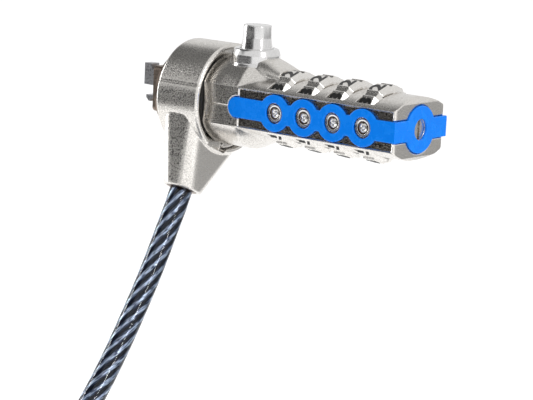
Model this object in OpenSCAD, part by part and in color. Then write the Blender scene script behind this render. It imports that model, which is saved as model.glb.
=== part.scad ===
// Laptop cable lock: a four-wheel combination barrel with a push button, a pair of jaws for a
// device's security slot, a swivel collar and a steel cable that ends in a crimped loop.
// +X runs along the barrel from the jaws to the nose, +Z is the button's side.
// The origin is the centre of the shoulder that rests against the device, on the barrel's axis.

/* [Barrel] */
// Radius of the barrel's round rear part
barrel_r = 10.8; // [10.6:0.1:11]
// Distance from the axis to each flat side
flat_y = 9.7; // [9.6:0.1:9.8]
// Height of the crowned front part above the axis
crown_z = 7.3; // [7:0.1:7.8]
// Length of the round rear part
drum_l = 10; // [9.6:0.1:10.6]
// Depth of the recessed side panels
panel_depth = 0.4; // [0.3:0.1:0.4]

/* [Wheels] */
// Number of number wheels
wheel_count = 4; // [4]
// Distance from one wheel to the next
wheel_pitch = 8.4; // [8.2:0.1:8.6]
// Radius of a number wheel
wheel_r = 8.6; // [8.3:0.1:8.6]
// Thickness of a number wheel
wheel_t = 4.8; // [4.4:0.1:5]
// Numbers on a wheel
numbers = 10; // [10]

/* [Button] */
// Radius of the button's top
button_r = 3.4; // [3.2:0.1:3.5]
// Height of the button's top above the axis
button_z = 18.6; // [18:0.1:19]

/* [Slot jaws] */
// Thickness of both jaws, for a slot 3 mm wide
jaw_t = 2.6; // [2.2:0.1:2.8]
// Top of the swinging jaw's head when it is spread
jaw_top = 5.8; // [5.4:0.1:6]
// Bottom of the fixed jaw's head
jaw_bottom = -3.5; // [-3.5:0.1:-3.2]
// Gap between the shoulder and the jaws' hooks, which holds the slot's wall
wall_gap = 2.1; // [2:0.1:2.3]

/* [Swivel collar] */
// Outer radius of the collar
collar_r = 13.4; // [13:0.1:13.8]
// Width of the collar
collar_w = 13; // [12.6:0.1:13]
// Angle at which the cable boss stands, away from straight down
boss_turn = 23; // [0:1:40]
// Distance from the axis to the end of the cable boss
boss_l = 23.8; // [23:0.1:25]
// Radius of the boss's end
boss_r = 4.65; // [4.5:0.05:5]

/* [Cable] */
// Diameter of the coated steel cable
cable_d = 5.5; // [5.5]
// Height of the surface that the coil lies on
floor_z = -98; // [-98]
// Radius of the coil at the middle of its turns
coil_r = 34; // [34]

/* [Hidden] */
$fn = 64;

fit = 0.05;                 // radial play of a running fit
gap = 0.2;                  // plain clearance
far = 60;                   // longer than any cut

// stations along the barrel
shoulder_x = 0;
flange_x0 = 6.6;
flange_x1 = 9.8;
collar_x0 = 10;
collar_x1 = collar_x0 + collar_w;
body_x0 = 22;
drum_x1 = body_x0 + drum_l;
ramp_l = 8.2;
ramp_end_r = 7;
wheel_x0 = 42.9;
plug_offset = 0.7;
nose_x = 77.6;
nose_r = 1.2;
panel_x0 = 32.6;
panel_x1 = 77;
panel_z = 4.5;
panel_y = flat_y - panel_depth;
button_x = 29.6;

// bores inside the barrel
collar_bore_r = 8.95;
sleeve_r = collar_bore_r - fit;
sleeve_bore_r = 6;
sleeve_x1 = 27;
sleeve_flange_r = 9.2;
sleeve_flange_x0 = 25.2;
button_room_r = 6.3;
button_room_x1 = 34.8;
bar_r = 2.5;
ring_r = 4.6;
ring_l = 6.8;
hub_r = 6.2;
hub_l = 0.7;
pocket_r = wheel_r + gap;
pocket_t = wheel_t + 2 * gap;
window_y = 8.3;
window_z = 4.6;
ring_bore_x0 = 38;
ring_bore_x1 = 73.6;
screw_r = 2.3;
screw_x0 = 74.6;
screw_flange_r = 3;
screw_flange_t = 0.8;
screw_slot_x0 = 76.2;
screw_slot_w = 0.8;
washer_r = 10.4;

// crowned front part: two large arcs meet the flat sides
crown_edge_z = sqrt(pow(barrel_r, 2) - pow(flat_y, 2)) - 0.1;
crown_rise = crown_z - crown_edge_z;
crown_r = (pow(flat_y, 2) + pow(crown_rise, 2)) / (2 * crown_rise);

// side trim
trim_t = 0.75;
trim_band_h = 4.8;
trim_ring_r = 4.3;
trim_hole_r = 2.4;
trim_nose_ring_r = 5.4;
trim_x0 = 29.8;
trim_nose_sink = 0.35;
trim_outer_y = panel_y + trim_t;

// jaws: the swinging one turns on a cross pin inside the snout
jaw_pin_x = 8.4;
jaw_pin_z = 2.4;
jaw_pin_r = 0.8;
jaw_pin_half = 4.4;
jaw_eye_r = 1.9;
jaw_tail_z0 = 1.2;
jaw_tail_z1 = 3.4;
jaw_head_x0 = -4.5;
jaw_head_z0 = 0.5;
jaw_neck_z1 = 4.3;
jaw_tail_x = 13;
snout_y = 3;
snout_z = 5.6;
snout_r = 1.2;
snout_slot_y = 1.6;
snout_slot_z0 = -2.9;
snout_slot_z1 = 5;
spigot_x1 = 13.2;
flange_r = 9.8;
fixed_head_x0 = -3.7;
fixed_neck_x1 = 9;
fixed_neck_z1 = -2;
fixed_bevel = 0.8;

// button
button_skirt_r = 3.9;
button_skirt_z = 12.4;
button_play = 0.15;
button_spring_r = 2.9;
button_wire_r = 0.55;
guide_r = 5.8;
guide_z0 = 6.8;
guide_floor_z = 8;
guide_seat_z = 9;
guide_foot_r = 5;
guide_z1 = 13.2;
stem_r = 2;
stem_z0 = 3.2;

// number wheel and its clutch ring
groove_r = 0.7;
tooth_l = 0.9;
tooth_tip_r = 5.2;
tooth_w = 1;
ring_bore_r = 3.7;
fin_gate_r = 4.1;

// draw bar
bar_x0 = 16;
bar_x1 = 71.4;
bar_tongue_x0 = 14;
bar_tongue_y = 1.2;
bar_flange_x = 21.2;
bar_flange_t = 1.2;
bar_flange_r = 5;
bar_tongue_z0 = -1.5;
bar_tongue_z1 = 0.9;
bar_spring_r = 3.8;
bar_wire_r = 0.5;
fin_r = 3.5;
fin_w = 1.2;
fin_back = 2;
fin_front = 1;
notch_x0 = 25;
notch_x1 = 34.6;
notch_z = -0.2;

// cable and its boss
collar_bevel = 0.6;
collar_lip_r = 12.2;
collar_recess = 1.8;
boss_x = 16.2;
boss_root_u = 5.1;
boss_root_w = 11.9;
boss_root_r = 4.05;
slab_t = 0.1;
cable_x = 16;
ferrule_r = 3.6;
ferrule_l = 10;
// route of the cable from the boss down to the coil, chosen by hand
drop_points = [
  [cable_x, -9.3, -21.9], [cable_x, -11.2, -26], [cable_x, -13.3, -30], [cable_x, -15.9, -35],
  [cable_x, -18.6, -40], [cable_x, -21.5, -45], [cable_x, -24.6, -50], [cable_x, -27.8, -55],
  [cable_x, -31.2, -60], [cable_x, -34.9, -65], [cable_x, -39, -70], [cable_x, -43.9, -75],
  [cable_x, -49.8, -79.4], [cable_x, -56.6, -82.6], [cable_x, -64, -84.1]
];
drop_sides = 10;
coil_x = cable_x + coil_r;
coil_y = -66;
coil_turns_wide = 3;
coil_layers = 3;
coil_pitch = cable_d;
coil_half_w = coil_turns_wide * coil_pitch / 2;
coil_h = coil_layers * coil_pitch;
tie_w = 9;
tie_t = 1.2;
notch_depth = 2.4;
notch_w = 6.9;
notch_u0 = 5;
notch_u1 = 12.7;
loop_r = 23.3;
loop_x = 65;
loop_y = -63;
loop_z = -77;
// clamp that grips the loop's two ends side by side
clamp_r = 3.4;
clamp_x0 = 58;
clamp_x1 = 72;
clamp_y0 = -89;
clamp_y1 = -83.4;

// dowels that join the two housings
pin_r = 0.8;
pin_z = 4;
pin_rear = [36.4, 7.6];
pin_front = [75.2, 6.6];

// ball plungers behind the trim's holes
plug_r = 2;
plug_outer_y = 9.6;
plug_inner_y = 8.85;
plug_rim_r = 1.5;
plug_dish = 0.3;
ball_r = 0.5;
ball_y = 9.15;

function wheel_x(index) = wheel_x0 + index * wheel_pitch;
function plug_x(index) = wheel_x(index) + plug_offset;

module rod_x(x0, x1, r) {
  translate([x0, 0, 0]) rotate([0, 90, 0]) cylinder(h = x1 - x0, r = r);
}

module rod_y(y0, y1, r) {
  translate([0, y0, 0]) rotate([-90, 0, 0]) cylinder(h = y1 - y0, r = r);
}

module rod_z(z0, z1, r) {
  translate([0, 0, z0]) cylinder(h = z1 - z0, r = r);
}

module block(x0, x1, y0, y1, z0, z1) {
  translate([x0, y0, z0]) cube([x1 - x0, y1 - y0, z1 - z0]);
}

// --- barrel housings -------------------------------------------------------------------------

// plan of the barrel: straight sides and round corners at the nose
module barrel_plan() {
  translate([body_x0, -flat_y]) square([nose_x - body_x0 - nose_r, 2 * flat_y]);
  translate([body_x0, nose_r - flat_y]) square([nose_x - body_x0, 2 * (flat_y - nose_r)]);
  for (side = [-1, 1])
    translate([nose_x - nose_r, side * (flat_y - nose_r)]) circle(r = nose_r);
}

// side view of the crowned front part, bevelled at the nose
module front_side_view() {
  over = crown_z + 1;
  polygon([[body_x0, -over], [nose_x - nose_r - 1, -over], [nose_x, nose_r - crown_z],
    [nose_x, crown_z - nose_r], [nose_x - nose_r - 1, over], [body_x0, over]]);
}

module front_bar() {
  intersection() {
    translate([0, 0, crown_z - crown_r]) rod_x(body_x0, nose_x + 1, crown_r);
    translate([0, 0, crown_r - crown_z]) rod_x(body_x0, nose_x + 1, crown_r);
    rotate([90, 0, 0]) translate([0, 0, -far / 2]) linear_extrude(far) front_side_view();
  }
}

module rear_drum() {
  rod_x(body_x0, drum_x1, barrel_r);
  translate([drum_x1, 0, 0]) rotate([0, 90, 0])
    cylinder(h = ramp_l, r1 = barrel_r, r2 = ramp_end_r);
}

module barrel_outside() {
  intersection() {
    union() {
      rear_drum();
      front_bar();
    }
    translate([0, 0, -far / 2]) linear_extrude(far) barrel_plan();
  }
}

// flat shape of the trim on a side, seen along Y
module trim_side_shape(grow) {
  translate([trim_x0 + trim_band_h / 2, 0]) circle(r = trim_band_h / 2 + grow);
  translate([trim_x0 + trim_band_h / 2, -trim_band_h / 2 - grow])
    square([nose_x - trim_x0 - trim_band_h / 2, trim_band_h + 2 * grow]);
  for (i = [0 : wheel_count - 1])
    translate([plug_x(i), 0]) circle(r = trim_ring_r + grow);
}

// flat shape of the trim on the nose, seen along X
module trim_nose_shape(grow) {
  translate([-trim_outer_y, -trim_band_h / 2 - grow])
    square([2 * trim_outer_y, trim_band_h + 2 * grow]);
  circle(r = trim_nose_ring_r + grow);
}

module side_panels_cut() {
  for (side = [0, 1]) mirror([0, side, 0])
    block(panel_x0, panel_x1, -far / 2, -panel_y, -panel_z, panel_z);
}

module trim_seat_cut() {
  for (side = [0, 1]) mirror([0, side, 0])
    translate([0, -panel_y, 0]) rotate([90, 0, 0]) linear_extrude(flat_y)
      trim_side_shape(gap);
  translate([nose_x - trim_nose_sink, 0, 0]) rotate([90, 0, 90]) linear_extrude(flat_y)
    trim_nose_shape(gap);
}

module housing_cuts() {
  rod_x(body_x0 - 1, sleeve_flange_x0, sleeve_r);
  rod_x(sleeve_flange_x0, sleeve_x1, sleeve_flange_r);
  rod_x(sleeve_x1 - 1, button_room_x1, button_room_r);
  rod_x(button_room_x1 - 1, ring_bore_x0 + 1, bar_r + fit);
  rod_x(ring_bore_x0, ring_bore_x1, ring_r + fit);
  rod_x(ring_bore_x1 - 1, screw_x0, bar_r + fit);
  rod_x(screw_x0, screw_x0 + screw_flange_t, screw_flange_r + fit);
  rod_x(screw_x0, nose_x + 1, screw_r + fit);
  for (i = [0 : wheel_count - 1]) translate([wheel_x(i), 0, 0]) {
    rod_x(-pocket_t / 2, pocket_t / 2, pocket_r);
    rod_x(-wheel_t / 2 - hub_l - gap / 2, wheel_t / 2 + hub_l + gap / 2, hub_r + fit);
    for (side = [0, 1]) mirror([0, 0, side])
      block(-pocket_t / 2, pocket_t / 2, -window_y, window_y, window_z, far);
    translate([plug_offset, 0, 0]) rod_y(-far / 2, far / 2, plug_r);
  }
  translate([button_x, 0, 0]) {
    rod_z(0, far, guide_foot_r);
    rod_z(guide_seat_z, far, guide_r);
  }
  side_panels_cut();
  trim_seat_cut();
  pin_places() rod_z(-pin_z, pin_z, pin_r);
}

module pin_places() {
  for (place = [pin_rear, pin_front])
    for (side = [-1, 1])
      translate([place[0], side * place[1], 0]) children();
}

module housing_half(side) {
  difference() {
    barrel_outside();
    mirror([0, 0, side]) translate([0, 0, -far / 2]) cube([4 * far, far, far], center = true);
    housing_cuts();
  }
}

module upper_housing() {
  color("silver") housing_half(0);
}

module lower_housing() {
  color("silver") housing_half(1);
}

module housing_pins() {
  color("dimgray") pin_places() rod_z(-pin_z, pin_z, pin_r);
}

module trim_band() {
  color("dodgerblue") difference() {
    union() {
      for (side = [0, 1]) mirror([0, side, 0])
        translate([0, -panel_y, 0]) rotate([90, 0, 0]) linear_extrude(trim_t)
          trim_side_shape(0);
      translate([nose_x - trim_nose_sink, 0, 0]) rotate([90, 0, 90]) linear_extrude(trim_t)
        trim_nose_shape(0);
    }
    for (i = [0 : wheel_count - 1])
      translate([plug_x(i), 0, 0]) rod_y(-far / 2, far / 2, trim_hole_r);
    rod_x(nose_x - 5, nose_x + 5, trim_hole_r);
  }
}

module plug_places() {
  for (side = [0, 1]) mirror([0, side, 0])
    for (i = [0 : wheel_count - 1])
      translate([plug_x(i), 0, 0]) children();
}

module detent_plugs() {
  color("white") plug_places() difference() {
    rod_y(plug_inner_y, plug_outer_y, plug_r);
    rod_y(plug_outer_y - plug_dish, plug_outer_y + 1, plug_rim_r);
    translate([0, ball_y, 0]) sphere(r = ball_r);
    rod_y(plug_inner_y - 1, ball_y, ball_r);
  }
}

module detent_balls() {
  color("lightsteelblue") plug_places() translate([0, ball_y, 0]) sphere(r = ball_r);
}

// --- number wheels ---------------------------------------------------------------------------

module number_wheel(index) {
  color("gainsboro") translate([wheel_x(index), 0, 0]) difference() {
    union() {
      rod_x(-wheel_t / 2, wheel_t / 2, wheel_r);
      rod_x(-wheel_t / 2 - hub_l, wheel_t / 2 + hub_l, hub_r);
    }
    rod_x(-far, far, ring_r + fit);
    rod_x(tooth_l / 2 + gap / 4, far, tooth_tip_r + gap);
    for (k = [0 : numbers - 1]) rotate([(k + 0.5) * 360 / numbers, 0, 0]) {
      translate([0, 0, wheel_r + groove_r / 4]) rod_x(-far, far, groove_r);
      block(-tooth_l / 2 - gap / 4, wheel_t, -tooth_w / 2 - gap / 2, tooth_w / 2 + gap / 2,
        0, tooth_tip_r + gap / 2);
    }
  }
}

module clutch_ring(index) {
  color("goldenrod") translate([wheel_x(index), 0, 0]) difference() {
    union() {
      rod_x(-ring_l / 2, ring_l / 2, ring_r);
      for (k = [0 : numbers - 1]) rotate([(k + 0.5) * 360 / numbers, 0, 0])
        block(-tooth_l / 2, tooth_l / 2, -tooth_w / 2, tooth_w / 2, ring_r - 0.5, tooth_tip_r);
    }
    rod_x(-far, far, ring_bore_r);
    block(-far, far, -fin_w / 2 - gap, fin_w / 2 + gap, 0, fin_gate_r);
  }
}

module wheel_1() number_wheel(0);
module wheel_2() number_wheel(1);
module wheel_3() number_wheel(2);
module wheel_4() number_wheel(3);
module clutch_ring_1() clutch_ring(0);
module clutch_ring_2() clutch_ring(1);
module clutch_ring_3() clutch_ring(2);
module clutch_ring_4() clutch_ring(3);

// --- button, draw bar and code screw -----------------------------------------------------------

module button_guide() {
  color("white") translate([button_x, 0, 0]) difference() {
    union() {
      rod_z(guide_z0, guide_z1, guide_foot_r);
      rod_z(guide_seat_z, guide_z1, guide_r);
    }
    rod_z(guide_floor_z, far, button_skirt_r + button_play);
    rod_z(0, far, stem_r + fit);
  }
}

module button() {
  color("white") translate([button_x, 0, 0]) {
    translate([0, 0, button_skirt_z])
      cylinder(h = button_z - button_skirt_z, r1 = button_skirt_r, r2 = button_r);
    rod_z(stem_z0, button_skirt_z + 1, stem_r);
  }
}

// spring drawn as its own closed sleeve of stacked coils
module coil_stack(length, mean_r, wire_r, turns) {
  pitch = length / turns;
  rotate_extrude() {
    for (k = [0 : turns - 1])
      translate([mean_r, (k + 0.5) * pitch]) circle(r = wire_r, $fn = 24);
    translate([mean_r - wire_r / 3, wire_r]) square([2 * wire_r / 3, length - 2 * wire_r]);
  }
}

module button_spring() {
  color("slategray") translate([button_x, 0, guide_floor_z])
    coil_stack(button_skirt_z - guide_floor_z, button_spring_r, button_wire_r, 4);
}

module draw_bar() {
  color("gray") difference() {
    union() {
      rod_x(bar_x0, bar_x1, bar_r);
      rod_x(bar_flange_x, bar_flange_x + bar_flange_t, bar_flange_r);
      block(bar_tongue_x0, bar_x0 + 1, -bar_tongue_y, bar_tongue_y, bar_tongue_z0, bar_tongue_z1);
      for (i = [0 : wheel_count - 1])
        block(wheel_x(i) - fin_back, wheel_x(i) + fin_front, -fin_w / 2, fin_w / 2, 0, fin_r);
    }
    block(notch_x0, notch_x1, -far, far, notch_z, far);
  }
}

module draw_spring() {
  color("slategray") translate([spigot_x1, 0, 0]) rotate([0, 90, 0])
    coil_stack(bar_flange_x - spigot_x1, bar_spring_r, bar_wire_r, 6);
}

module code_screw() {
  color("white") difference() {
    union() {
      rod_x(screw_x0 + gap / 2, nose_x - trim_nose_sink, screw_r);
      rod_x(screw_x0 + gap / 2, screw_x0 + screw_flange_t - gap / 2, screw_flange_r);
    }
    block(screw_slot_x0, nose_x + 1, -screw_slot_w / 2, screw_slot_w / 2, -far, far);
  }
}

// --- sleeve, snout and jaws --------------------------------------------------------------------

module swivel_barrel() {
  color("dimgray") difference() {
    union() {
      rod_x(flange_x1, sleeve_x1, sleeve_r);
      rod_x(sleeve_flange_x0, sleeve_x1, sleeve_flange_r);
    }
    rod_x(0, far, sleeve_bore_r);
    translate([button_x, 0, 0]) rod_z(0, far, guide_foot_r + gap);
  }
}

module slot_snout() {
  color("darkslategray") difference() {
    union() {
      translate([shoulder_x, 0, 0]) rotate([90, 0, 90]) linear_extrude(flange_x1)
        union() {
          square([2 * snout_y, 2 * (snout_z - snout_r)], center = true);
          square([2 * (snout_y - snout_r), 2 * snout_z], center = true);
          for (y = [-1, 1]) for (z = [-1, 1])
            translate([y * (snout_y - snout_r), z * (snout_z - snout_r)]) circle(r = snout_r);
        }
      rod_x(flange_x0, flange_x1, flange_r);
      rod_x(flange_x1, spigot_x1, sleeve_bore_r);
    }
    block(-1, far, -snout_slot_y, snout_slot_y, snout_slot_z0, snout_slot_z1);
    translate([jaw_pin_x, 0, jaw_pin_z]) rod_y(-jaw_pin_half, jaw_pin_half, jaw_pin_r);
  }
}

module jaw_pin() {
  color("silver") translate([jaw_pin_x, 0, jaw_pin_z])
    rod_y(-jaw_pin_half, jaw_pin_half, jaw_pin_r);
}

module swinging_jaw() {
  head_x1 = -wall_gap;
  color("dimgray") difference() {
    union() {
      block(jaw_head_x0, head_x1, -jaw_t / 2, jaw_t / 2, jaw_head_z0, jaw_top);
      block(head_x1 - 0.5, jaw_pin_x, -jaw_t / 2, jaw_t / 2, jaw_head_z0, jaw_neck_z1);
      translate([jaw_pin_x, 0, jaw_pin_z]) rod_y(-jaw_t / 2, jaw_t / 2, jaw_eye_r);
      block(jaw_pin_x, jaw_tail_x, -jaw_t / 2, jaw_t / 2, jaw_tail_z0, jaw_tail_z1);
    }
    translate([jaw_pin_x, 0, jaw_pin_z]) rod_y(-far, far, jaw_pin_r + fit);
  }
}

module fixed_jaw() {
  head_x1 = -wall_gap;
  color("dimgray") {
    rotate([90, 0, 0]) translate([0, 0, -jaw_t / 2]) linear_extrude(jaw_t)
      polygon([[fixed_head_x0, fixed_neck_z1], [head_x1, fixed_neck_z1], [head_x1, jaw_bottom],
        [fixed_head_x0 + fixed_bevel, jaw_bottom], [fixed_head_x0, jaw_bottom + fixed_bevel]]);
    block(head_x1 - 0.5, fixed_neck_x1, -jaw_t / 2, jaw_t / 2, snout_slot_z0, fixed_neck_z1);
  }
}

module wear_washer() {
  color("black") difference() {
    rod_x(collar_x1 - collar_recess + 0.1, body_x0 - 0.1, washer_r);
    rod_x(0, far, sleeve_r + fit);
  }
}

// --- swivel collar and cable -------------------------------------------------------------------

// turns its children so that +Z points along the cable boss
module along_boss() {
  rotate([180 - boss_turn, 0, 0]) children();
}

// rounded slab across the boss at height u, from x0 to x1 and as wide as half_w each way
module boss_slab(u, x0, x1, half_w, r) {
  translate([0, 0, u]) linear_extrude(slab_t) hull()
    for (x = [x0 + r, x1 - r]) for (y = [r - half_w, half_w - r])
      translate([x, y]) circle(r = r, $fn = 32);
}

module swivel_collar() {
  color("silver") difference() {
    union() {
      translate([collar_x0, 0, 0]) rotate([0, 90, 0]) rotate_extrude()
        polygon([[0, 0], [collar_r - collar_bevel, 0], [collar_r, collar_bevel],
          [collar_r, collar_w - collar_bevel], [collar_r - collar_bevel, collar_w],
          [0, collar_w]]);
      along_boss() hull() {
        boss_slab(boss_root_u, collar_x0 + 0.6, collar_x1 - 0.1, boss_root_w, boss_root_r);
        boss_slab(boss_l - slab_t, boss_x - boss_r, boss_x + boss_r, boss_r, boss_r);
      }
    }
    rod_x(0, far, collar_bore_r);
    rod_x(collar_x1 - collar_recess, far, collar_lip_r);
    along_boss() {
      translate([cable_x, 0, 0]) rod_z(10, far, ferrule_r);
      block(collar_x1 - notch_depth, far, -notch_w / 2, notch_w / 2, notch_u0, notch_u1);
    }
  }
}

module cable_ferrule() {
  color("dimgray") along_boss() translate([cable_x, 0, 0])
    rod_z(boss_l - ferrule_l, boss_l, ferrule_r);
}

// tube swept along a list of points, with a ring of corners at each point
function unit(v) = v / norm(v);
function along(p, i) = unit(p[min(i + 1, len(p) - 1)] - p[max(i - 1, 0)]);
function ring_points(p, i, r, n) =
  let (t = along(p, i), side = unit(cross(t, [1, 0, 0.001])), up = cross(side, t))
  [for (k = [0 : n - 1]) p[i] + r * (cos(360 * k / n) * side + sin(360 * k / n) * up)];

module swept_tube(p, r, n) {
  rings = len(p);
  points = [for (i = [0 : rings - 1]) each ring_points(p, i, r, n)];
  walls = [for (i = [0 : rings - 2]) for (k = [0 : n - 1])
    [i * n + k, i * n + (k + 1) % n, (i + 1) * n + (k + 1) % n, (i + 1) * n + k]];
  start_cap = [[for (k = [0 : n - 1]) n - 1 - k]];
  end_cap = [[for (k = [0 : n - 1]) (rings - 1) * n + k]];
  polyhedron(points = points, faces = concat(walls, start_cap, end_cap), convexity = 4);
}

module cable_drop() {
  color("midnightblue") swept_tube(drop_points, cable_d / 2, drop_sides);
}

module cable_coil() {
  color("midnightblue") translate([coil_x, coil_y, floor_z]) rotate_extrude()
    translate([coil_r - coil_half_w, 0]) square([2 * coil_half_w, coil_h]);
}

module coil_tie() {
  outer = coil_half_w + tie_t;
  color("black") translate([coil_x, coil_y, floor_z]) difference() {
    block(coil_r - outer, coil_r + outer, -tie_w / 2, tie_w / 2, 0, coil_h + tie_t);
    rotate_extrude() translate([coil_r - coil_half_w, -1]) square([2 * coil_half_w, coil_h + 1]);
  }
}

module cable_loop() {
  color("midnightblue") translate([loop_x, loop_y, loop_z]) rotate_extrude()
    translate([loop_r, 0]) circle(r = cable_d / 2, $fn = 16);
}

module loop_ferrule() {
  color("silver") translate([0, 0, loop_z]) {
    for (y = [clamp_y0, clamp_y1]) translate([0, y, 0]) rod_x(clamp_x0, clamp_x1, clamp_r);
    block(clamp_x0, clamp_x1, clamp_y0, clamp_y1, -clamp_r, clamp_r);
  }
}

upper_housing();
lower_housing();
trim_band();
detent_plugs();
detent_balls();
housing_pins();
swivel_barrel();
slot_snout();
fixed_jaw();
swinging_jaw();
jaw_pin();
button_guide();
button();
button_spring();
draw_bar();
draw_spring();
code_screw();
wheel_1();
wheel_2();
wheel_3();
wheel_4();
clutch_ring_1();
clutch_ring_2();
clutch_ring_3();
clutch_ring_4();
wear_washer();
swivel_collar();
cable_ferrule();
cable_drop();
cable_coil();
coil_tie();
cable_loop();
loop_ferrule();
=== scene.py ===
"""Laptop cable lock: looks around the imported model. Metres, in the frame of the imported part."""

from math import cos, pi, radians, sin, tan, tau

import bpy
import numpy as np
from mathutils import Matrix, Vector


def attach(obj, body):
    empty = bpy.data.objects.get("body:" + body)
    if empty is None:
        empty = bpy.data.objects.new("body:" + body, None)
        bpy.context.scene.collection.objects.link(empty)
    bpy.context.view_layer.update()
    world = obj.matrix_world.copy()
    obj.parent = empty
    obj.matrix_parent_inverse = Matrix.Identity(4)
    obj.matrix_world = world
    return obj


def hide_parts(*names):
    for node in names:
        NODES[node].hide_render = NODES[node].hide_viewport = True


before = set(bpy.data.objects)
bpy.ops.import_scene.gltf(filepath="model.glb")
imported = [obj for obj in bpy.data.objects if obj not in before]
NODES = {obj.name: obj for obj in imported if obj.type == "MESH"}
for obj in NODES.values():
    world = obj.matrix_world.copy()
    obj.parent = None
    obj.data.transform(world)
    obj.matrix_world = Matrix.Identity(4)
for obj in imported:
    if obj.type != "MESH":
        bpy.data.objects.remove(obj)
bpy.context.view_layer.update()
MM = 0.001
LINK = bpy.context.scene.collection.objects.link

# --- camera ------------------------------------------------------------------------------------
AZIMUTH, ELEVATION, ROLL = 38.66, 10.55, 2.85
DISTANCE, LENS = 0.516, 144.8
AIM = Vector((0.0309, 0.0049, -0.0239))


def add_camera():
    a, e, r = radians(AZIMUTH), radians(ELEVATION), radians(ROLL)
    back = Vector((sin(a) * cos(e), -cos(a) * cos(e), sin(e)))
    right = Vector((cos(a), sin(a), 0))
    up = back.cross(right)
    cam_right = right * cos(r) + up * sin(r)
    cam_up = up * cos(r) - right * sin(r)
    turn = Matrix((cam_right, cam_up, back)).transposed().to_4x4()
    data = bpy.data.cameras.new("camera")
    data.lens = LENS
    data.clip_start = 0.01
    camera = bpy.data.objects.new("camera", data)
    camera.matrix_world = Matrix.Translation(AIM + back * DISTANCE) @ turn
    LINK(camera)
    bpy.context.scene.camera = camera


add_camera()

# --- materials ---------------------------------------------------------------------------------


class Nodes:
    """A material's node tree, with short ways to add and join nodes."""

    def __init__(self, name):
        self.material = bpy.data.materials.new(name)
        self.material.use_nodes = True
        self.tree = self.material.node_tree
        self.shader = self.tree.nodes["Principled BSDF"]
        self.coords = self.add("ShaderNodeTexCoord").outputs["Object"]

    def add(self, kind, **settings):
        node = self.tree.nodes.new(kind)
        for key, value in settings.items():
            setattr(node, key, value)
        return node

    def join(self, source, target):
        self.tree.links.new(source, target)

    def set(self, **values):
        for key, value in values.items():
            self.shader.inputs[key.replace("_", " ")].default_value = value

    def noise(self, scale, detail=2.0, roughness=0.5):
        node = self.add("ShaderNodeTexNoise")
        node.inputs["Scale"].default_value = scale
        node.inputs["Detail"].default_value = detail
        node.inputs["Roughness"].default_value = roughness
        self.join(self.coords, node.inputs["Vector"])
        return node.outputs["Fac"]

    def spread(self, source, low, high, at=(0.3, 0.7)):
        """Number from low to high as source goes across at."""
        node = self.add("ShaderNodeMapRange", clamp=True)
        self.join(source, node.inputs["Value"])
        for key, value in zip(("From Min", "From Max", "To Min", "To Max"), (*at, low, high)):
            node.inputs[key].default_value = value
        return node.outputs["Result"]

    def ramp(self, source, stops):
        node = self.add("ShaderNodeValToRGB")
        ramp = node.color_ramp
        while len(ramp.elements) < len(stops):
            ramp.elements.new(0.5)
        for element, (position, colour) in zip(ramp.elements, stops):
            element.position = position
            element.color = (*colour, 1)
        self.join(source, node.inputs["Fac"])
        return node.outputs["Color"]

    def bump(self, source, depth):
        node = self.add("ShaderNodeBump")
        node.inputs["Strength"].default_value = 1.0
        node.inputs["Distance"].default_value = depth
        self.join(source, node.inputs["Height"])
        return node.outputs["Normal"]


GRAIN_SCALE, STAIN_SCALE, STAIN_DEPTH = 2800.0, 150.0, 0.025
# where the grain's noise counts as a pit and where as the face between pits
PIT_COLOUR_AT, PIT_ROUGH_AT = (0.38, 0.6), (0.4, 0.6)


def metal(name, light, dark, rough, grain_depth, grain_scale=GRAIN_SCALE, wear=0.06):
    """Plated metal: blasted grain whose pits are darker and duller, over slow stains."""
    n = Nodes(name)
    n.set(Metallic=1.0)
    grain = n.noise(grain_scale, 2.0, 0.6)
    stain = n.spread(n.noise(STAIN_SCALE, 2.0, 0.5), -STAIN_DEPTH, STAIN_DEPTH)
    stained = n.add("ShaderNodeMath", operation="ADD")
    n.join(grain, stained.inputs[0])
    n.join(stain, stained.inputs[1])
    pits = stained.outputs["Value"]
    colour = n.ramp(pits, list(zip(PIT_COLOUR_AT, (dark, light))))
    n.join(colour, n.shader.inputs["Base Color"])
    n.join(n.spread(pits, rough + wear, rough - wear, PIT_ROUGH_AT), n.shader.inputs["Roughness"])
    if grain_depth:
        n.join(n.bump(grain, grain_depth), n.shader.inputs["Normal"])
    return n.material


def plastic(name, light, dark, rough, grain_depth=0.0, gloss=0.5):
    n = Nodes(name)
    n.set(Specular_IOR_Level=gloss)
    blotch = n.noise(420.0, 3.0)
    n.join(n.ramp(blotch, [(0.3, dark), (0.7, light)]), n.shader.inputs["Base Color"])
    n.join(n.spread(blotch, rough - 0.04, rough + 0.05), n.shader.inputs["Roughness"])
    if grain_depth:
        n.join(n.bump(n.noise(2600.0), grain_depth), n.shader.inputs["Normal"])
    return n.material


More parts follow.
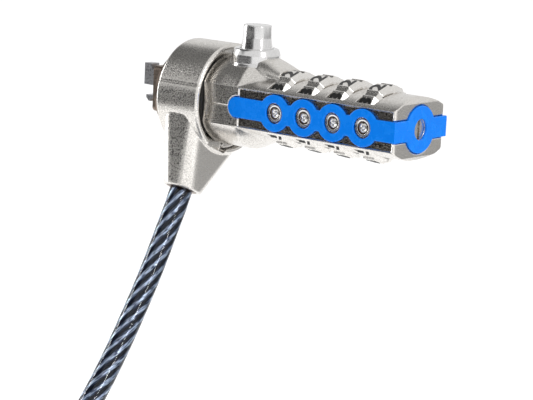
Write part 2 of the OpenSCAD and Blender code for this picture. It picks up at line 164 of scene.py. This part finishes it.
def strand_material():
    """Bright wires: fine lines along the strands, from the tube's own map, with the grooves between
    strands painted near-black as painted shade.
    """
    n = Nodes("cable_strand")
    n.set(Metallic=1.0)
    uv = n.add("ShaderNodeTexCoord").outputs["UV"]
    wave = n.add("ShaderNodeTexWave", wave_type="BANDS", bands_direction="X")
    wave.inputs["Scale"].default_value = tau / 20
    wave.inputs["Phase Offset"].default_value = pi
    n.join(uv, wave.inputs["Vector"])
    crest = wave.outputs["Fac"]
    wires = n.add("ShaderNodeTexNoise")
    wires.inputs["Scale"].default_value = 3.2
    wires.inputs["Detail"].default_value = 4.0
    stretch = n.add("ShaderNodeMapping")
    stretch.inputs["Scale"].default_value = (2.6, 0.16, 1.0)
    n.join(uv, stretch.inputs["Vector"])
    n.join(stretch.outputs["Vector"], wires.inputs["Vector"])
    mixed = n.add("ShaderNodeMath", operation="MULTIPLY")
    n.join(crest, mixed.inputs[0])
    n.join(n.spread(wires.outputs["Fac"], 0.25, 1.35, (0.35, 0.65)), mixed.inputs[1])
    # painted shade: the grooves between strands go dark navy to near-black, the crests take the
    # wires' pale colour
    n.join(n.ramp(mixed.outputs["Value"], [(0.22, (0.006, 0.009, 0.02)), (0.5, (0.08, 0.11, 0.19)),
                                           (0.95, (0.80, 0.88, 0.97))]),
           n.shader.inputs["Base Color"])
    n.join(n.spread(crest, 0.5, 0.3), n.shader.inputs["Roughness"])
    n.join(n.bump(wires.outputs["Fac"], 0.00004), n.shader.inputs["Normal"])
    return n.material


def jacket_material():
    n = Nodes("cable_jacket")
    n.set(Transmission_Weight=1.0, IOR=1.47, Base_Color=(0.66, 0.73, 0.86, 1))
    n.join(n.spread(n.noise(900.0), 0.02, 0.07), n.shader.inputs["Roughness"])
    return n.material


SATIN = metal("satin_nickel", (0.84, 0.815, 0.78), (0.64, 0.615, 0.58), 0.26, 0.00003, 3800.0, 0.12)
# darker finish for the recessed side panels: partly their textured finish, partly painted shade for
# the dark surroundings their flat faces reflect
PANEL_FINISH_AND_SHADE = metal("dark_panel", (0.46, 0.43, 0.40), (0.03, 0.027, 0.024), 0.22, 0.00006, 3300.0)
CHROME = metal("bright_chrome", (0.80, 0.795, 0.79), (0.76, 0.755, 0.75), 0.2, 0.0, wear=0.02)
WHEEL = metal("wheel_nickel", (0.86, 0.84, 0.81), (0.74, 0.715, 0.68), 0.24, 0.00002, wear=0.1)
STEEL = metal("hard_steel", (0.62, 0.62, 0.64), (0.42, 0.42, 0.44), 0.32, 0.00001)
# dark brownish steel; on the plunger grooves it is painted shade, and on the slot snout and the
# cable ferrule it is partly their dark finish and partly painted shade where they sit in shadow
DARK_STEEL_AND_SHADE = metal("dark_steel", (0.34, 0.27, 0.22), (0.16, 0.13, 0.11), 0.36, 0.00001)
SPRING = metal("spring_steel", (0.62, 0.62, 0.64), (0.45, 0.45, 0.47), 0.22, 0.0)
BRASS = metal("inner_brass", (0.78, 0.60, 0.28), (0.62, 0.45, 0.18), 0.28, 0.00001)
CRIMP = metal("crimp_metal", (0.66, 0.66, 0.67), (0.52, 0.52, 0.53), 0.36, 0.00002)
BLUE = plastic("trim_blue", (0.0, 0.25, 1.0), (0.0, 0.22, 0.95), 0.26, 0.000004, 0.3)
INK = plastic("number_black", (0.012, 0.012, 0.012), (0.006, 0.006, 0.006), 0.4)
NYLON = plastic("black_washer", (0.02, 0.018, 0.016), (0.01, 0.01, 0.01), 0.5)
TIE = plastic("tie_black", (0.03, 0.03, 0.03), (0.015, 0.015, 0.015), 0.45, 0.00001)
STRAND = strand_material()
JACKET = jacket_material()


def paint(piece, material):
    piece.data.materials.clear()
    piece.data.materials.append(material)


# the slot snout and the cable ferrule take the dark steel, partly as painted shade for the shadow
# they sit in
for node, material in {
        "detent_balls": CHROME, "housing_pins": STEEL, "swivel_barrel": STEEL,
        "slot_snout": DARK_STEEL_AND_SHADE, "fixed_jaw": STEEL, "swinging_jaw": STEEL, "jaw_pin": SPRING,
        "button_spring": SPRING, "draw_bar": STEEL, "draw_spring": SPRING, "code_screw": SATIN,
        "wear_washer": NYLON, "cable_ferrule": DARK_STEEL_AND_SHADE, "coil_tie": TIE,
        "loop_ferrule": CRIMP, "clutch_ring_1": BRASS, "clutch_ring_2": BRASS,
        "clutch_ring_3": BRASS, "clutch_ring_4": BRASS}.items():
    paint(NODES[node], material)

# --- mesh helpers ------------------------------------------------------------------------------


def piece_from(name, mesh, material, body, replaced=(), smooth=True):
    piece = bpy.data.objects.new(name, mesh)
    LINK(piece)
    mesh.polygons.foreach_set("use_smooth", [smooth] * len(mesh.polygons))
    paint(piece, material)
    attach(piece, body)
    if replaced:
        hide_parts(*replaced)
    return piece


def mesh_from(name, verts, faces, scale=MM):
    mesh = bpy.data.meshes.new(name)
    mesh.from_pydata([tuple(c * scale for c in v) for v in verts], [], faces)
    mesh.validate()
    return mesh


def rounded(points, steps=6):
    """Open outline from (x, y, radius) corners, with each corner turned into an arc."""
    out = [points[0][:2]]
    for before, (x, y, r), after in zip(points, points[1:], points[2:]):
        corner = Vector((x, y))
        to_a = (Vector(before[:2]) - corner).normalized()
        to_b = (Vector(after[:2]) - corner).normalized()
        if r == 0:
            out.append((x, y))
            continue
        half = to_a.angle(to_b) / 2
        centre = corner + (to_a + to_b).normalized() * (r / sin(half))
        start, end = corner + to_a * (r / tan(half)), corner + to_b * (r / tan(half))
        for k in range(steps + 1):
            spoke = start.lerp(end, k / steps) - centre
            out.append(tuple(centre + spoke.normalized() * r))
    out.append(points[-1][:2])
    return out


def lathe(outline, segments=96):
    """Vertices and faces of (radius, height) points turned about Z."""
    verts = [(r * cos(tau * k / segments), r * sin(tau * k / segments), h)
             for r, h in outline for k in range(segments)]
    faces = [(i * segments + k, i * segments + (k + 1) % segments,
              (i + 1) * segments + (k + 1) % segments, (i + 1) * segments + k)
             for i in range(len(outline) - 1) for k in range(segments)]
    return verts, faces


def joined(parts):
    verts, faces = [], []
    for more_verts, more_faces in parts:
        base = len(verts)
        verts += more_verts
        faces += [tuple(i + base for i in f) for f in more_faces]
    return verts, faces


def moved(part, matrix):
    verts, faces = part
    return [tuple(matrix @ Vector(v)) for v in verts], faces


def evaluated(mesh, modifiers, weights=None):
    """The mesh after these modifiers, each a kind and its settings."""
    obj = bpy.data.objects.new("working", mesh)
    LINK(obj)
    if weights is not None:
        group = obj.vertex_groups.new(name="soft")
        for index in np.flatnonzero(weights > 0.01):
            group.add([int(index)], float(weights[index]), "REPLACE")
    for kind, settings in modifiers:
        modifier = obj.modifiers.new(kind, kind)
        for key, value in settings.items():
            setattr(modifier, key, value)
    graph = bpy.context.evaluated_depsgraph_get()
    result = bpy.data.meshes.new_from_object(obj.evaluated_get(graph))
    bpy.data.objects.remove(obj)
    return result


def corners(mesh):
    table = np.empty(len(mesh.vertices) * 3)
    mesh.vertices.foreach_get("co", table)
    return table.reshape(-1, 3)


def cast_mesh(name, node, extras=(), voxel=0.15, soften=5, keep=0.35, zone=None, trues=()):
    """A CAD node's shape as a casting: rounded edges, with extra closed shapes grown on."""
    source = NODES[node].data
    own = [tuple(v.co / MM) for v in source.vertices], [tuple(p.vertices) for p in source.polygons]
    verts, faces = joined([own, *extras])
    mesh = mesh_from(name, verts, faces, 1.0)
    mesh = evaluated(mesh, [("REMESH", {"mode": "VOXEL", "voxel_size": voxel, "adaptivity": 0.0}),
                            ("SMOOTH", {"factor": 0.5, "iterations": soften})])
    if zone:
        mesh = evaluated(mesh, [("SMOOTH", {"factor": 0.5, "iterations": 60,
                                            "vertex_group": "soft"})], zone(corners(mesh)))
    if keep < 1:
        mesh = evaluated(mesh, [("DECIMATE", {"ratio": keep})])
    points = corners(mesh)
    for true in trues:
        points = true(points)
    mesh.vertices.foreach_set("co", points.ravel() * MM)
    mesh.update()
    mesh.name = name
    return mesh


def true_round(radius, middle_z, x_range, upper=0):
    """Draws the points that lie near a cylinder about X exactly onto it."""
    def apply(points):
        x, y, z = points.T
        reach = np.hypot(y, z - middle_z)
        pull = np.clip(1.5 - np.abs(reach - radius) / REACH, 0, 1)
        pull = np.where((x > x_range[0]) & (x < x_range[1]), pull, 0)
        if upper:
            pull = np.where(z * upper > 0, pull, 0)
        share = 1 + pull * (radius / np.maximum(reach, 0.1) - 1)
        return np.stack([x, y * share, middle_z + (z - middle_z) * share], axis=1)
    return apply


# --- cable -------------------------------------------------------------------------------------
CABLE_D = 5.5 * MM
CABLE_X = 16 * MM
FLOOR_Z = -98 * MM
COIL_R = 34 * MM
COIL_X, COIL_Y = CABLE_X + COIL_R, -66 * MM
DROP_POINTS = [Vector((16, y, z)) * MM for y, z in (
    (-9.3, -21.9), (-11.2, -26), (-13.3, -30), (-15.9, -35), (-18.6, -40), (-21.5, -45),
    (-24.6, -50), (-27.8, -55), (-31.2, -60), (-34.9, -65), (-39, -70), (-43.9, -75),
    (-49.8, -79.4), (-56.6, -82.6), (-64, -84.1))]
# radius and height of each coil turn, in cable diameters from the middle of the coil's section
TURNS = [(0, 1), (-1, 1), (-1, 0), (0, 0), (1, 0), (1, -1), (0, -1), (-1, -1)]
TURN_STEPS = 48
RISE_R = 23 * MM
LOOP_X, LOOP_Y, LOOP_Z = 65 * MM, -62.9 * MM, -77 * MM
LOOP_R_START, LOOP_R_END = 26.1 * MM, 20.5 * MM
STRANDS, LAY = 6, 28 * MM
ROUTE_STEP = 0.9 * MM
# share of a turn over which the coil passes to its next turn, and rises to the loop
TURN_CHANGE, RISE_CHANGE = 0.22, 0.9
CORE_R = 2.25 * MM


def smooth_step(t):
    t = min(max(t, 0.0), 1.0)
    return t * t * (3 - 2 * t)


def circle_point(centre_x, centre_y, r, angle, z):
    return Vector((centre_x + r * cos(angle), centre_y + r * sin(angle), z))


def coil_route():
    """Turns of the coil from the drop's end, then up through the middle to the loop's height."""
    cells = [(COIL_R + r * CABLE_D, FLOOR_Z + (h + 1.5) * CABLE_D) for r, h in TURNS]
    cells.append((RISE_R, LOOP_Z))
    points = []
    for i, ((r0, z0), (r1, z1)) in enumerate(zip(cells, cells[1:])):
        change = RISE_CHANGE if i == len(cells) - 2 else TURN_CHANGE
        for k in range(TURN_STEPS):
            t = k / TURN_STEPS
            s = smooth_step((t - 1 + change) / change)
            points.append(circle_point(COIL_X, COIL_Y, r0 + (r1 - r0) * s, pi + tau * t,
                                       z0 + (z1 - z0) * s))
    for k in range(TURN_STEPS // 4 + 1):
        points.append(circle_point(COIL_X, COIL_Y, RISE_R, pi + tau * k / TURN_STEPS, LOOP_Z))
    return points


def loop_route():
    """Straight run through the clamp, once round, and back into the clamp."""
    points = [Vector((x * MM, LOOP_Y - LOOP_R_START, LOOP_Z)) for x in (53, 56, 59, 62)]
    for k in range(TURN_STEPS + 1):
        t = k / TURN_STEPS
        r = LOOP_R_START + (LOOP_R_END - LOOP_R_START) * smooth_step(t)
        points.append(circle_point(LOOP_X, LOOP_Y, r, tau * t - pi / 2, LOOP_Z))
    points.append(points[-1] + Vector((4 * MM, 0, 0)))
    return points


def even_route(points, step):
    """Catmull-Rom curve through the points, sampled at even steps."""
    dense = []
    for i in range(len(points) - 1):
        p0, p1 = points[max(i - 1, 0)], points[i]
        p2, p3 = points[i + 1], points[min(i + 2, len(points) - 1)]
        count = max(2, int((p2 - p1).length / step * 4))
        for k in range(count):
            t = k / count
            dense.append(0.5 * (2 * p1 + (p2 - p0) * t + (2 * p0 - 5 * p1 + 4 * p2 - p3) * t * t
                                + (3 * p1 - p0 - 3 * p2 + p3) * t ** 3))
    dense.append(points[-1])
    reach = np.cumsum([0.0] + [(b - a).length for a, b in zip(dense, dense[1:])])
    wanted = np.linspace(0, reach[-1], round(reach[-1] / step) + 1)
    table = np.array([tuple(p) for p in dense])
    return np.stack([np.interp(wanted, reach, table[:, i]) for i in range(3)], axis=1)


def route_frames(route):
    """Tangent and two sides at each point of the route, without twist."""
    tangents = np.gradient(route, axis=0)
    tangents /= np.linalg.norm(tangents, axis=1)[:, None]
    sides = np.zeros_like(route)
    side = np.cross(tangents[0], (1.0, 0.0, 0.0))
    for i, t in enumerate(tangents):
        side = side - t * np.dot(side, t)
        side = side / np.linalg.norm(side)
        sides[i] = side
    return sides, np.cross(tangents, sides)


def tube_mesh(name, route, radii, turns):
    """Tube along the route: radii round its section, which turns by the given angles."""
    sides, ups = route_frames(route)
    count = len(radii)
    angles = turns[:, None] + np.linspace(0, tau, count, endpoint=False)[None, :]
    verts = (route[:, None, :]
             + (radii * np.cos(angles))[:, :, None] * sides[:, None, :]
             + (radii * np.sin(angles))[:, :, None] * ups[:, None, :]).reshape(-1, 3)
    rows = len(route)
    i = np.arange(rows - 1)[:, None] * count
    k = np.arange(count)[None, :]
    k2 = (k + 1) % count
    faces = np.stack([i + k, i + k2, i + count + k2, i + count + k], axis=-1).reshape(-1, 4)
    caps = [tuple(range(count))[::-1], tuple(range((rows - 1) * count, rows * count))]
    mesh = bpy.data.meshes.new(name)
    mesh.from_pydata(verts.tolist(), [], faces.tolist() + caps)
    uv = mesh.uv_layers.new(name="along").data
    corner = np.zeros((len(faces), 4, 2))
    corner[:, :, 0] = np.stack([k + 0 * i, k + 1 + 0 * i, k + 1 + 0 * i, k + 0 * i],
                               axis=-1).reshape(-1, 4) * STRANDS / count
    corner[:, :, 1] = np.stack([i, i, i + count, i + count], axis=-1).repeat(
        count, axis=1).reshape(-1, 4) / count
    flat = np.zeros((len(uv), 2))
    flat[:len(faces) * 4] = corner.reshape(-1, 2)
    uv.foreach_set("uv", flat.ravel())
    return mesh


ROUTE = even_route(DROP_POINTS + coil_route()[1:] + loop_route(), ROUTE_STEP)


def add_cable():
    """Clear jacket round a core of twisted strands."""
    jacket = piece_from("cable_jacket", tube_mesh("cable_jacket", ROUTE, np.full(
        32, CABLE_D / 2), np.zeros(len(ROUTE))), JACKET, "swivel",
        ("cable_drop", "cable_coil", "cable_loop"))
    section = np.linspace(0, tau, 36, endpoint=False)
    radii = CORE_R * (1 - 0.17 * (1 - np.abs(np.cos(section * STRANDS / 2))) ** 1.4)
    twist = tau * np.arange(len(ROUTE)) * ROUTE_STEP / LAY
    core = piece_from("cable_strands", tube_mesh("cable_strands", ROUTE, radii, twist),
                      STRAND, "swivel")
    core.parent = jacket


add_cable()

# --- castings ----------------------------------------------------------------------------------
PANEL_Y, PANEL_X, PANEL_Z = 9.3 * MM, (32.7 * MM, 76.9 * MM), 4.45 * MM


def mark_panels(piece):
    """The recessed side panels take the darker finish, partly their own textured finish and partly
    painted shade for the dark surroundings their flat faces reflect.
    """
    piece.data.materials.append(PANEL_FINISH_AND_SHADE)
    for face in piece.data.polygons:
        x, y, z = face.center
        if (PANEL_X[0] < x < PANEL_X[1] and abs(z) < PANEL_Z
                and PANEL_Y - 0.9 * MM < abs(y) < PANEL_Y + 0.05 * MM
                and abs(face.normal.y) > 0.9):
            face.material_index = 1


# how near a point lies to a cylinder to be drawn onto it
REACH = 0.08
# the collar's parting grooves: degrees from the top, half width and depth, outside this radius
PART_ANGLE, PART_WIDTH, PART_DEPTH, PART_FROM_R = 72.0, 0.25, 0.2, 12.8
# the ridge behind the button, as (x, half width, top) stations
HUMP = [(33.6, 5.0, 11.6), (35.2, 4.9, 11.2), (37, 4.8, 10.6), (38.8, 4.6, 9.9), (40.3, 4.4, 9.2)]
HUMP_BASE = 6.7
SOFT_X = (28.5, 30.0, 39.2, 40.1)
BUTTON_X = 29.6


def part_line(points):
    """Fine grooves along the collar where the casting's dies met."""
    x, y, z = points.T
    reach = np.hypot(y, z)
    away = (np.abs(np.degrees(np.arctan2(np.abs(y), z))) - PART_ANGLE) * pi / 180 * reach
    depth = PART_DEPTH * np.exp(-(away / PART_WIDTH) ** 2) * (reach > PART_FROM_R)
    share = 1 - depth / np.maximum(reach, 1)
    return np.stack([x, y * share, z * share], axis=1)


def hump_part():
    """Ridge that runs from the button's guide down to the first wheel."""
    count = 36
    verts = []
    for x, half, top in HUMP:
        for k in range(count):
            across, rise = cos(tau * k / count), sin(tau * k / count)
            y = half * abs(across) ** 0.75 * (1 if across > 0 else -1)
            lift = abs(rise) ** 0.75
            z = HUMP_BASE + ((top - HUMP_BASE) * lift if rise > 0 else -0.3 * lift)
            verts.append((x, y, z))
    rows = len(HUMP)
    faces = [(i * count + k, i * count + (k + 1) % count, (i + 1) * count + (k + 1) % count,
              (i + 1) * count + k) for i in range(rows - 1) for k in range(count)]
    faces += [tuple(range(count))[::-1], tuple(range((rows - 1) * count, rows * count))]
    return verts, faces


def ramp_zone(points):
    """How far each point is let go soft: the ramps between the drum and the first wheel."""
    x, y, z = points.T
    along = np.interp(x, SOFT_X, (0, 1, 1, 0))
    high = np.interp(np.abs(z), (5.2, 6.0), (0, 1))
    clear = np.interp(np.hypot(x - BUTTON_X, y), (6.0, 6.8), (0, 1))
    clear = np.where(z > 0, clear, 1)
    outside = np.interp(np.hypot(y, z), (6.6, 7.2), (0, 1))
    return along * high * clear * outside


CROWN_R, CROWN_MID = 19.07, 11.77
DRUM_TRUE = true_round(10.8, 0, (22.2, 31.4))
upper = piece_from("upper_shell", cast_mesh(
    "upper_shell", "upper_housing", [hump_part()], zone=ramp_zone,
    trues=(DRUM_TRUE, true_round(CROWN_R, -CROWN_MID, (42, 76), 1))),
    SATIN, "barrel", ("upper_housing",))
lower = piece_from("lower_shell", cast_mesh(
    "lower_shell", "lower_housing", zone=ramp_zone,
    trues=(DRUM_TRUE, true_round(CROWN_R, CROWN_MID, (42, 76), -1))),
    SATIN, "barrel", ("lower_housing",))
mark_panels(upper)
mark_panels(lower)
piece_from("collar_shell", cast_mesh(
    "collar_shell", "swivel_collar", voxel=0.2, soften=6, keep=0.9,
    trues=(true_round(13.4, 0, (10.9, 22.1)), part_line)), SATIN, "swivel",
    ("swivel_collar",))
piece_from("trim", cast_mesh("trim", "trim_band", voxel=0.11, soften=12, keep=0.5), BLUE,
           "barrel", ("trim_band",))

# --- button and its guide ----------------------------------------------------------------------


def along_z(x, part):
    return moved(part, Matrix.Translation((x, 0, 0)))


BUTTON = [(0, 18.6, 0), (3.38, 18.55, 0.3), (3.45, 15.5, 3), (3.9, 12.4, 0.2), (0, 12.4, 0)]
STEM = [(0, 13, 0), (2, 13, 0), (2, 3.2, 0.3), (0, 3.2, 0)]
GUIDE = [(4.05, 8, 0), (4.05, 13.1, 0.2), (5.3, 13.1, 0.7), (5.75, 11.6, 0.6), (5.8, 9.7, 1.0),
         (6.25, 9, 0.1), (5, 9, 0), (5, 6.8, 0)]

piece_from("push_button", mesh_from("push_button", *joined([
    along_z(BUTTON_X, lathe(rounded(BUTTON))), along_z(BUTTON_X, lathe(rounded(STEM), 48))])),
    CHROME, "push_button", ("button",))
piece_from("guide_ring", mesh_from("guide_ring", *along_z(BUTTON_X, lathe(rounded(GUIDE)))),
           CHROME, "barrel", ("button_guide",))

# --- number wheels -----------------------------------------------------------------------------
WHEEL_COUNT, NUMBERS = 4, 10
WHEEL_X0, WHEEL_PITCH = 42.9, 8.4
# how far the plungers stand ahead of the wheels' middles
PLUG_OFFSET = 0.7
# degrees by which the shown number leans towards -Y
WHEEL_TILT = 18.0
PAD_R, PAD_CORNER_R, PAD_SINK = 8.9, 9.1, 0.42
PAD_HALF = 13.0
# (x from the middle, radius) across a wheel, from its rear hub to its front hub
WHEEL_PROFILE = [(-3.1, 4.65), (-3.1, 6.2), (-2.4, 6.2), (-2.4, 8.65), (-2.25, PAD_R), (0.9, PAD_R),
                 (1.05, 8.75), (1.9, 7.7), (1.95, 7.3), (1.95, 6.2), (3.1, 6.2), (3.1, 4.65)]
WHEEL_STEPS = 240


def wheel_part(x):
    verts = []
    for offset, r in WHEEL_PROFILE:
        for k in range(WHEEL_STEPS):
            degrees = 360 * k / WHEEL_STEPS
            off_pad = abs((degrees + 18 - WHEEL_TILT) % 36 - 18)
            radius = r
            if r > 7:
                flat = r / cos(radians(min(off_pad, PAD_HALF)))
                sink = smooth_step((off_pad - PAD_HALF) / 1.5) * PAD_SINK
                radius = min(flat, PAD_CORNER_R) - sink
            verts.append((x + offset, -radius * sin(radians(degrees)), radius * cos(
                radians(degrees))))
    rows = len(WHEEL_PROFILE)
    faces = [(i * WHEEL_STEPS + k, i * WHEEL_STEPS + (k + 1) % WHEEL_STEPS,
              j * WHEEL_STEPS + (k + 1) % WHEEL_STEPS, j * WHEEL_STEPS + k)
             for i, j in ((i, (i + 1) % rows) for i in range(rows)) for k in range(WHEEL_STEPS)]
    return verts, faces


DIGIT_W, DIGIT_H, DIGIT_STRETCH, DIGIT_X = 3.2, 3.2, 1.6, -0.85
DIGIT_FONT, DIGIT_BOLD, DIGIT_DEEP = 4.6, 0.16, 0.06
SHOWN_DIGIT = 2


def digit_mesh(digit):
    curve = bpy.data.curves.new(f"digit_{digit}", "FONT")
    curve.body = str(digit)
    curve.align_x, curve.align_y = "CENTER", "CENTER"
    curve.size = DIGIT_FONT
    curve.offset = DIGIT_BOLD
    curve.extrude = DIGIT_DEEP
    curve.resolution_u = 6
    obj = bpy.data.objects.new("working", curve)
    LINK(obj)
    graph = bpy.context.evaluated_depsgraph_get()
    mesh = bpy.data.meshes.new_from_object(obj.evaluated_get(graph))
    bpy.data.objects.remove(obj)
    part = [tuple(v.co) for v in mesh.vertices], [tuple(p.vertices) for p in mesh.polygons]
    xs, ys = [v[0] for v in part[0]], [v[1] for v in part[0]]
    centre = Matrix.Translation((-(max(xs) + min(xs)) / 2, -(max(ys) + min(ys)) / 2, 0))
    wide, tall = DIGIT_W / (max(xs) - min(xs)), DIGIT_H / (max(ys) - min(ys))
    wide = min(wide, tall * DIGIT_STRETCH)
    return moved(part, Matrix.Diagonal((wide, tall, 1, 1)) @ centre)


DIGITS = [digit_mesh(d) for d in range(NUMBERS)]
# the numbers' right is +Y and their top is -X when they are uppermost
DIGIT_TURN = Matrix(((0, -1, 0, 0), (1, 0, 0, 0), (0, 0, 1, 0), (0, 0, 0, 1)))


def digits_part(x):
    parts = []
    for digit, part in enumerate(DIGITS):
        angle = radians(WHEEL_TILT + 360 / NUMBERS * (digit - SHOWN_DIGIT))
        place = (Matrix.Translation((x + DIGIT_X, 0, 0)) @ Matrix.Rotation(angle, 4, "X")
                 @ Matrix.Translation((0, 0, PAD_R)) @ DIGIT_TURN)
        parts.append(moved(part, place))
    return joined(parts)


for index in range(WHEEL_COUNT):
    x = WHEEL_X0 + index * WHEEL_PITCH
    number = index + 1
    piece_from(f"number_wheel_{number}", mesh_from("wheel", *wheel_part(x)), WHEEL,
               f"number_{number}", (f"wheel_{number}",), smooth=False)
    piece_from(f"numbers_{number}", mesh_from("numbers", *digits_part(x)), INK,
               f"number_{number}", smooth=False)

# --- ball plungers -----------------------------------------------------------------------------
PLUG = [(0.5, 8.85, 0), (0.5, 9.3, 0.05), (0.8, 9.42, 0.1), (1.1, 9.3, 0.05), (1.15, 9.0, 0.1),
        (1.45, 9.0, 0.1), (1.5, 9.5, 0.08), (1.95, 9.6, 0.1), (2.0, 8.85, 0)]
# the groove between a plunger and its rim, painted with the dark steel as painted shade
GROOVE_SHADE_R = (1.08, 1.5)


def plugs_part():
    one = lathe(rounded(PLUG), 64)
    parts = []
    for index in range(WHEEL_COUNT):
        x = WHEEL_X0 + PLUG_OFFSET + index * WHEEL_PITCH
        for turn in (90, -90):
            parts.append(moved(one, Matrix.Translation((x, 0, 0))
                               @ Matrix.Rotation(radians(turn), 4, "X")))
    return joined(parts)


rims = piece_from("plunger_rims", mesh_from("plunger_rims", *plugs_part()), CHROME, "barrel",
                  ("detent_plugs",))
# painted shade: the grooves between plungers and their rims take the dark steel
rims.data.materials.append(DARK_STEEL_AND_SHADE)
for face in rims.data.polygons:
    x = face.center.x / MM - WHEEL_X0 - PLUG_OFFSET
    from_plug = np.hypot(x - WHEEL_PITCH * round(x / WHEEL_PITCH), face.center.z / MM)
    face.material_index = int(GROOVE_SHADE_R[0] < from_plug < GROOVE_SHADE_R[1])

# --- stage and light ---------------------------------------------------------------------------


FLOOR_HALF, FLOOR_GLOW = 6, 0.42


def add_floor():
    verts = [(x * FLOOR_HALF, y * FLOOR_HALF, FLOOR_Z) for x, y in (
        (-1, -1), (1, -1), (1, 1), (-1, 1))]
    floor = bpy.data.objects.new("floor", mesh_from("floor", verts, [(0, 1, 2, 3)], 1.0))
    LINK(floor)
    n = Nodes("floor")
    n.set(Base_Color=(0.93, 0.93, 0.93, 1), Roughness=0.8, Emission_Color=(1, 1, 1, 1),
          Emission_Strength=FLOOR_GLOW)
    paint(floor, n.material)


# cards round the object: direction, half width and half height (tangents of the angles from the
# middle), how soft the edge is, and how much light each takes away
CARDS = [((-0.40, -0.91, -0.05), (0.76, 0.30), 0.2, 0.98),
         ((-0.62, -0.22, 0.75), (0.80, 0.46), 0.25, 0.84)]
SKY = 0.84
FLAG_MIDDLE_X, FLAG_FAR, FLAG_LIFT = 0.04, 3.0, 0.0005
# cloths on the floor: direction in degrees from +X, nearest point, half width and how pale
FLAGS = [(-113, 0.28, 0.85, 0.01), (45, 0.10, 0.9, 0.48)]


# lights round the aim: direction, width and height, and power
STRIPS = [((0.86, -0.25, 0.45), (0.05, 0.35), 1.0), ((-0.86, -0.27, 0.22), (0.10, 0.5), 1.6)]
STRIP_DISTANCE = 0.7


class Sky:
    """Nodes that work on the direction from which the world's light comes."""

    def __init__(self, tree):
        self.tree = tree
        self.direction = tree.nodes.new("ShaderNodeTexCoord").outputs["Generated"]

    def math(self, operation, *values):
        node = self.tree.nodes.new("ShaderNodeMath")
        node.operation = operation
        for value, socket in zip(values, node.inputs):
            if isinstance(value, float):
                socket.default_value = value
            else:
                self.tree.links.new(value, socket)
        return node.outputs["Value"]

    def along(self, axis):
        dot = self.tree.nodes.new("ShaderNodeVectorMath")
        dot.operation = "DOT_PRODUCT"
        self.tree.links.new(self.direction, dot.inputs[0])
        dot.inputs[1].default_value = axis
        return dot.outputs["Value"]

    def inside(self, offset, half, soft):
        """1 where offset is within half of 0, falling to 0 over soft."""
        edge = self.tree.nodes.new("ShaderNodeMapRange")
        edge.interpolation_type = "SMOOTHSTEP"
        self.tree.links.new(self.math("ABSOLUTE", offset), edge.inputs["Value"])
        for key, value in zip(("From Min", "From Max", "To Min", "To Max"),
                              (half - soft / 2, half + soft / 2, 1.0, 0.0)):
            edge.inputs[key].default_value = value
        return edge.outputs["Result"]

    def card(self, towards, size, soft):
        ahead = Vector(towards).normalized()
        side = Vector((0, 0, 1)).cross(ahead).normalized()
        depth = self.math("MAXIMUM", self.along(ahead), 0.01)
        masks = [self.inside(self.math("DIVIDE", self.along(axis), depth), half, soft)
                 for axis, half in zip((side, ahead.cross(side)), size)]
        return self.math("MULTIPLY", *masks)


def add_world():
    world = bpy.data.worlds.new("world")
    bpy.context.scene.world = world
    world.use_nodes = True
    sky = Sky(world.node_tree)
    light = SKY
    for towards, size, soft, amount in CARDS:
        shade = sky.math("MULTIPLY", sky.card(towards, size, soft), -amount)
        light = sky.math("MULTIPLY", light, sky.math("ADD", shade, 1.0))
    background = world.node_tree.nodes["Background"]
    world.node_tree.links.new(light, background.inputs["Strength"])
    background.inputs["Color"].default_value = (1, 1, 1, 1)


def add_flag(angle, near, spread, shade):
    """Cloth on the floor, outside the camera's view, that the object mirrors."""
    towards = Vector((cos(radians(angle)), sin(radians(angle)), 0))
    side = Vector((towards.y, -towards.x, 0))
    middle = Vector((FLAG_MIDDLE_X, 0, FLOOR_Z + FLAG_LIFT))
    verts = [middle + towards * reach + side * reach * across for reach, across in (
        (near, -spread), (near, spread), (FLAG_FAR, spread), (FLAG_FAR, -spread))]
    flag = bpy.data.objects.new("flag", mesh_from("flag", verts, [(0, 1, 2, 3)], 1.0))
    LINK(flag)
    n = Nodes("flag")
    n.set(Base_Color=(shade, shade, shade, 1), Roughness=1.0)
    paint(flag, n.material)
    flag.visible_camera = False


def add_strip(direction, size, power):
    data = bpy.data.lights.new("strip", "AREA")
    data.shape = "RECTANGLE"
    data.size, data.size_y = size
    data.energy = power
    light = bpy.data.objects.new("strip", data)
    place = AIM + Vector(direction).normalized() * STRIP_DISTANCE
    light.matrix_world = (Matrix.Translation(place)
                          @ (place - AIM).to_track_quat("Z", "Y").to_matrix().to_4x4())
    light.visible_camera = False
    LINK(light)


add_floor()
for flag in FLAGS:
    add_flag(*flag)
add_world()
for strip in STRIPS:
    add_strip(*strip)
bpy.context.scene.view_settings.view_transform = "Standard"
